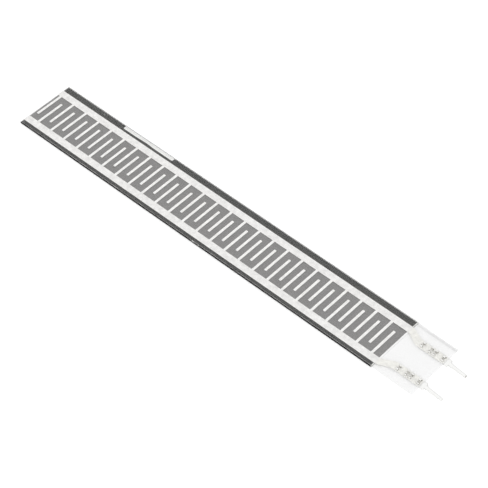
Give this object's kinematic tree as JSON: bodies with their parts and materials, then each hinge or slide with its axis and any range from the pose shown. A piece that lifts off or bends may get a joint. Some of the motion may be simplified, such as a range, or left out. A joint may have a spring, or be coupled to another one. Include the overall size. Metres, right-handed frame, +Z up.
{
  "type": "force sensing resistor",
  "caption": "Thin flat strip sensor: a carbon print laminated under a clear film with two interleaved silver combs, with a clear tail and two flat solder pins.",
  "frame": {"origin": "centre of the bounding box at the underside of the strip, where it rests on a table", "axes": "+X along the strip towards the solder pins, +Y towards the long edge with the window in the carbon print, +Z up through the layers to the clear film with the silver combs"},
  "size_m": [0.1182, 0.015, 0.0008],
  "materials": {
    "mounting_adhesive": "milky acrylic mounting adhesive, soft satin",
    "milky_film": "milky polyester film",
    "clear_film": "clear glossy polymer film",
    "carbon_ink": "matte screen printed carbon ink",
    "spacer_adhesive": "clear acrylic adhesive, wetted to both films",
    "silver_ink": "screen printed silver ink seen through the film, fine grained",
    "tinned_metal": "stamped copper alloy with bright tin plating"
  },
  "bodies": {
    "root": {"rear_adhesive": "mounting_adhesive", "base_film": "milky_film", "carbon_layer": "carbon_ink", "far_spacer": "spacer_adhesive", "near_spacer": "spacer_adhesive", "electrode_film": "clear_film", "far_electrode": "silver_ink", "near_electrode": "silver_ink", "far_terminal": "tinned_metal", "near_terminal": "tinned_metal"}
  },
  "joints": []
}
